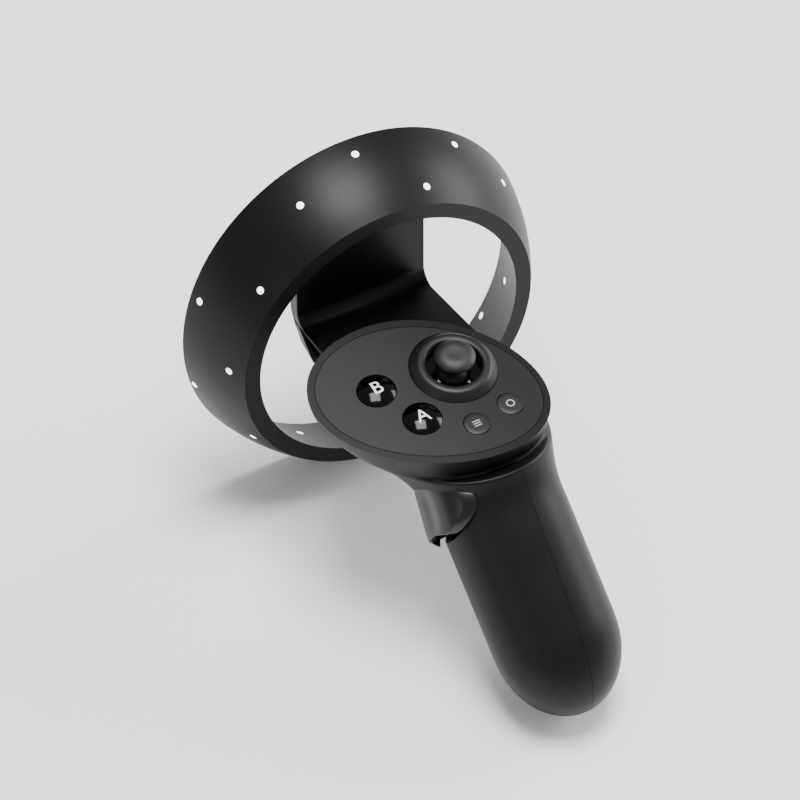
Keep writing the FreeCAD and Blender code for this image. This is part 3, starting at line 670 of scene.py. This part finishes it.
@dataclass
class ThumbStick:
    """The stick: rubber cap, its collar and the direction marks in the well."""

    across: float = 10.7
    forward: float = 4.9
    mark_radius: float = 6.5
    mark_turn_deg: float = 20.0
    floor_rings: tuple = ((8.66, -1.3), (8.66, -0.85), (5.3, -0.95), (5.3, -1.2))
    cap_rings: tuple = ((3.2, 4.0), (4.6, 4.05), (5.6, 4.45), (6.15, 4.95), (6.34, 5.45),
                        (6.35, 5.75), (6.2, 6.15),
                        (5.85, 6.5), (5.3, 6.85), (4.6, 7.15), (3.8, 7.35), (2.9, 7.42),
                        (1.9, 7.36), (0.9, 7.3),
                        (0.2, 7.29))
    collar_rings: tuple = ((8.7, -3.3), (8.7, 1.9), (8.78, 2.2), (8.98, 2.42), (9.3, 2.55),
                           (10.2, 2.6), (11.0, 2.5),
                           (11.5, 2.22), (12.2, 1.5), (12.9, 0.72), (13.35, 0.2), (13.55, -0.1),
                           (13.55, -1.8),
                           (9.9, -1.8), (9.9, -3.3))

    @property
    def base(self) -> Vector:
        """Where the stick's axis meets the face."""
        x = FACE.x + self.across * MM
        return Vector((x, FACE.y + self.forward * MM, face_height(x)))

    def build(self, paints: Paintbox) -> None:
        """Model the cap, collar and marks."""
        cap = turned("stick_rubber_cap", list(self.cap_rings), upright(self.base), 96)
        finish_piece(paints, cap, Finish.STICK_RUBBER, "stick_cap", "stick_rubber", "stick_cap")
        collar = turned("stick_well_collar", list(self.collar_rings), upright(self.base), 128, hollow=True)
        finish_piece(paints, collar, Finish.FACE_SATIN, "casing", "face_satin", "stick_collar")
        floor = turned("stick_well_floor", list(self.floor_rings), upright(self.base), 96, hollow=True)
        finish_piece(paints, floor, Finish.KEY_GLOSS, "casing", "acetal")
        self.build_marks(paints)

    def build_marks(self, paints: Paintbox) -> None:
        """Four small triangles on the well's floor, pointing away from the stick."""
        for number in range(4):
            turn = number * math.pi / 2 + math.radians(self.mark_turn_deg)
            out = Vector((math.cos(turn), math.sin(turn), 0))
            only_none()
            bpy.ops.mesh.primitive_cylinder_add(vertices=3, radius=0.75 * MM, depth=0.1 * MM)
            mark = bpy.context.object
            bpy.ops.object.mode_set(mode="EDIT")
            bpy.ops.mesh.select_all(action="SELECT")
            bpy.ops.mesh.bevel(offset=0.04 * MM, segments=2)
            bpy.ops.object.mode_set(mode="OBJECT")
            spot = self.base + (out * self.mark_radius - UP * 0.84) * MM
            heading = Matrix.Rotation(turn - math.pi / 2, 4, "Z")
            settle(mark, "stick_mark_%d" % (number + 1), Matrix.Translation(spot) @ heading)
            finish_piece(paints, mark, Finish.DIM_INK, "casing", "led_window")


@dataclass
class ThumbFace:
    """The oval face with its keys and stick."""

    keys: tuple = (FaceKey("key_a", -7.1, -8.4, 6.0, 1.6, Symbol.LETTER_A),
                   FaceKey("key_b", -14.6, 6.9, 6.0, 1.6, Symbol.LETTER_B),
                   FaceKey("key_menu", 7.0, -16.9, 4.1, 0.2, Symbol.BARS),
                   FaceKey("key_home", 20.3, -13.8, 4.1, 0.2, Symbol.RING))
    stick: ThumbStick = field(default_factory=ThumbStick)

    def build(self, paints: Paintbox) -> None:
        """Model the keys and the stick."""
        for key in self.keys:
            key.build(paints)
        self.stick.build(paints)


# ---- bridge and triggers ---------------------------------------------------------------------
@dataclass
class RoundedPart:
    """A frame node whose sharp edges get the small rounding that a mould gives."""

    node: str
    body: str
    finish: Finish
    slot: str
    width_mm: float
    angle_deg: float = 40

    def build(self, paints: Paintbox) -> None:
        """Model the rounded copy."""
        piece = softened(self.node, self.node + "_rounded", self.width_mm, 3, self.angle_deg)
        finish_piece(paints, piece, self.finish, self.body, self.slot, self.node)


@dataclass
class Shell:
    """The moulded outside that is rounded: the bridge's front cover and the index trigger."""

    parts: tuple = (RoundedPart("neck_front_cover", "casing", Finish.RING_SATIN, "ring_satin", 0.6, 50),
                    RoundedPart("trigger", "trigger", Finish.TRIGGER_GLOSS, "trigger_gloss", 0.8, 50))

    def build(self, paints: Paintbox) -> None:
        """Model each rounded part."""
        for part in self.parts:
            part.build(paints)


@dataclass
class GripPaddle:
    """The side button: a scooped oval paddle.

    It follows the handle's side and stands proud at its lower end.
    """

    top: Vector = field(default_factory=lambda: FACE + Vector((10.2, -9.7, -14.5)) * MM)
    half_width: float = 20.0
    half_depth: float = 17.5
    middle: tuple = (-1.0, 18.5)
    reach: tuple = (14.1, 8.8)
    hinge: tuple = (-14.6, 11.6)
    proud_deg: float = 7.0
    scoop: float = 1.5
    scoop_place: float = 1.5
    scoop_width: float = 4.2
    rim_tuck: float = 0.35
    thickness: float = 3.2
    edge_radius: float = 0.45
    ring_count: int = 26
    ring_spread: float = 0.98

    def surface(self, across: float, along: float, edge: float) -> Vector:
        """A point of the paddle's outer face.

        Args:
            across: distance in mm from the handle's middle, towards the palm.
            along: distance in mm down the handle.
            edge: nought at the paddle's middle and one at its rim.

        Returns:
            The point in the object's frame, in metres.
        """
        side = -self.half_width * math.sqrt(1 - (across / self.half_depth) ** 2)
        valley = math.exp(-((across - self.scoop_place) / self.scoop_width) ** 2) * (1 - edge ** 4)
        side += self.scoop * valley + self.rim_tuck * edge ** 10
        turn = math.radians(self.proud_deg)
        out, down = side - self.hinge[0], along - self.hinge[1]
        swung = out * math.cos(turn) - down * math.sin(turn) + self.hinge[0]
        sunk = out * math.sin(turn) + down * math.cos(turn) + self.hinge[1]
        palm = HANDLE_DOWN.cross(HANDLE_SIDE)
        return self.top + (HANDLE_SIDE * swung + palm * across + HANDLE_DOWN * sunk) * MM

    def build(self, paints: Paintbox) -> None:
        """Model the paddle from a disc of rings laid on the handle's side."""
        rings = [((1 - i / self.ring_count * self.ring_spread) / MM, 0.0) for i in range(self.ring_count)]
        paddle = turned("grip_paddle", rings, Matrix.Identity(4), 96)
        for vertex in paddle.data.vertices:
            x, y = vertex.co.x, vertex.co.y
            edge = min(1.0, math.hypot(x, y))
            vertex.co = self.surface(self.middle[0] + self.reach[0] * x,
                                     self.middle[1] + self.reach[1] * y, edge)
        only(paddle)
        bpy.ops.object.mode_set(mode="EDIT")
        bpy.ops.mesh.select_all(action="SELECT")
        bpy.ops.mesh.normals_make_consistent(inside=False)
        bpy.ops.object.mode_set(mode="OBJECT")
        if paddle.data.polygons[0].normal.dot(HANDLE_SIDE) > 0:
            paddle.data.flip_normals()
        wall = paddle.modifiers.new("wall", "SOLIDIFY")
        wall.thickness = self.thickness * MM
        wall.offset = -1
        edge_round = paddle.modifiers.new("edge rounding", "BEVEL")
        edge_round.width = self.edge_radius * MM
        edge_round.segments = 3
        edge_round.limit_method = "ANGLE"
        edge_round.angle_limit = math.radians(50)
        apply_modifiers(paddle)
        bpy.ops.object.shade_smooth_by_angle(angle=math.radians(40))
        finish_piece(paints, paddle, Finish.TRIGGER_GLOSS, "grip_button", "trigger_gloss", "grip_button")


# ---- ring ------------------------------------------------------------------------------------
@dataclass
class LightWindows:
    """The round light windows in the ring: small lenses just proud of the shells."""

    radius: float = 1.16
    width: float = 23.4
    outer: tuple = (49.8, 59.0)
    inner: tuple = (44.5, 52.2)
    bulge: float = 1.16
    near: float = 5.2
    mid: float = 14.4
    far: float = 20.4
    inner_low: float = 12.9
    inner_middle: float = 16.4
    inner_high: float = 18.6

    def outer_spots(self) -> list[tuple[float, float]]:
        """Azimuth in degrees and distance from the rear rim of each outer window."""
        near, mid, far = self.near, self.mid, self.far
        return [(14, far), (33, mid), (55, far), (73, near), (91, far), (114, mid), (142, near), (159, far),
                (176, near), (193, far), (212, near), (231, mid), (252, near), (274, mid), (296, near),
                (318, mid), (338, near), (356, mid)]

    def inner_spots(self) -> list[tuple[float, float]]:
        """Azimuth in degrees and distance from the rear rim of each inner window."""
        low, middle, high = self.inner_low, self.inner_middle, self.inner_high
        return [(-11, low), (-32, high), (-54, low), (-76, middle), (-98, low), (-120, low), (-142, middle),
                (-164, low), (174, high)]

    def spot(self, azimuth: float, u: float, outside: bool) -> tuple[Vector, Vector]:
        """Place and outward direction of one window.

        Args:
            azimuth: degrees from +X towards the top.
            u: distance in mm from the rear rim.
            outside: on the outer band, or else on the inner one.

        Returns:
            The point on the shell's surface and the surface's normal.
        """
        top = Vector((1, 0, 0)).cross(RING_AXIS)
        turn = math.radians(azimuth)
        radial = Vector((1, 0, 0)) * math.cos(turn) + top * math.sin(turn)
        t = u / self.width
        if outside:
            r = self.outer[0] + (self.outer[1] - self.outer[0]) * t + 4 * self.bulge * t * (1 - t)
            slope = (self.outer[1] - self.outer[0] + 4 * self.bulge * (1 - 2 * t)) / self.width
            normal = radial - RING_AXIS * slope
        else:
            r = self.inner[0] + (self.inner[1] - self.inner[0]) * t
            normal = RING_AXIS * ((self.inner[1] - self.inner[0]) / self.width) - radial
        return RING_FOOT + (radial * r + RING_AXIS * u) * MM, normal.normalized()

    def build(self, paints: Paintbox) -> None:
        """Model one lens, copy it to each window and join each band's copies."""
        r = self.radius
        lens_rings = [(r, -0.9), (r, -0.05), (r * 0.97, 0.0),
                      (r * 0.85, 0.05), (r * 0.55, 0.09), (r * 0.2, 0.1)]
        for outside, spots in ((True, self.outer_spots()), (False, self.inner_spots())):
            name = "outer" if outside else "inner"
            lenses = []
            for number, (azimuth, u) in enumerate(spots):
                place, normal = self.spot(azimuth, u, outside)
                lenses.append(turned("lens_%s_%d" % (name, number), lens_rings, upright(place, normal), 40))
            only(lenses[0])
            for lens in lenses:
                lens.select_set(True)
            bpy.ops.object.join()
            band = bpy.context.object
            band.name = "light_windows_" + name
            finish_piece(paints, band, Finish.WINDOW, "casing", "led_window", "ring_windows_" + name)


# ---- studio ----------------------------------------------------------------------------------
@dataclass
class SoftBox:
    """One square soft light aimed at the object."""

    name: str
    place: Vector
    size: float
    power: float

    def build(self, target: Vector) -> None:
        """Add the light."""
        data = bpy.data.lights.new(self.name, "AREA")
        data.shape = "SQUARE"
        data.size = self.size
        data.energy = self.power
        lamp = bpy.data.objects.new(self.name, data)
        bpy.context.scene.collection.objects.link(lamp)
        lamp.location = self.place
        lamp.rotation_euler = (target - self.place).to_track_quat("-Z", "Y").to_euler()


@dataclass
class Studio:
    """Camera, pale floor and soft light."""

    right: Vector = field(default_factory=lambda: Vector((0.8788, -0.4697, 0.0814)).normalized())
    down: Vector = field(default_factory=lambda: Vector((-0.3287, -0.7201, -0.6108)).normalized())
    forward: Vector = field(default_factory=lambda: Vector((0.3458, 0.5105, -0.7876)).normalized())
    distance: float = 1.8085
    aim_left: float = 0.00919
    aim_down: float = 0.00271
    lens_mm: float = 270
    floor_size: float = 30.0
    floor_gap: float = 0.0002
    surround: float = 0.6
    light_aim: Vector = field(default_factory=lambda: Vector((0, 0, 0.055)))

    def add_camera(self) -> None:
        """Add the camera at the object's usual three-quarter view from above."""
        data = bpy.data.cameras.new("camera")
        data.lens = self.lens_mm
        data.sensor_width = 36
        camera = bpy.data.objects.new("camera", data)
        bpy.context.scene.collection.objects.link(camera)
        spot = FACE - self.right * self.aim_left + self.down * self.aim_down - self.forward * self.distance
        basis = Matrix((self.right, -self.down, -self.forward)).transposed().to_4x4()
        camera.matrix_world = Matrix.Translation(spot) @ basis
        data.clip_start = 0.05
        data.clip_end = 100
        bpy.context.scene.camera = camera

    def add_floor(self) -> None:
        """Add the pale floor just under the object."""
        only_none()
        bpy.ops.mesh.primitive_plane_add(size=self.floor_size,
                                         location=(0, 0, CAD_BOX[0][2] - self.floor_gap))
        floor = bpy.context.object
        floor.name = "floor"
        material = bpy.data.materials.new("matte_paper")
        material.use_nodes = True
        shader = material.node_tree.nodes["Principled BSDF"]
        shader.inputs["Base Color"].default_value = linear("F4F4F4")
        shader.inputs["Roughness"].default_value = 0.9
        shader.inputs["Specular IOR Level"].default_value = 0.1
        floor.data.materials.append(material)

    def add_lights(self) -> None:
        """Add an even pale surround and soft boxes above and at both sides."""
        world = bpy.data.worlds.new("surround")
        bpy.context.scene.world = world
        world.use_nodes = True
        backdrop = world.node_tree.nodes["Background"]
        backdrop.inputs["Color"].default_value = (1, 1, 1, 1)
        backdrop.inputs["Strength"].default_value = self.surround
        for box in (SoftBox("top_box", Vector((0.1, 0.3, 2.4)), 1.1, 95),
                    SoftBox("left_box", Vector((-2.2, -0.9, 1.3)), 1.0, 4),
                    SoftBox("right_box", Vector((2.3, 0.1, 1.0)), 1.2, 55)):
            box.build(self.light_aim)


def main() -> None:
    """Build the studio and the controller in order."""
    logging.basicConfig(level=logging.INFO, format="%(name)s: %(message)s")
    studio = Studio()
    studio.add_camera()
    paints = Paintbox()
    paints.dress_frame()
    studio.add_floor()
    studio.add_lights()
    for assembly in (LightWindows(), ThumbFace(), Shell(), GripPaddle()):
        assembly.build(paints)
        LOG.info("%s done", type(assembly).__name__)
    only_none()


if __name__ == "__main__":
    main()
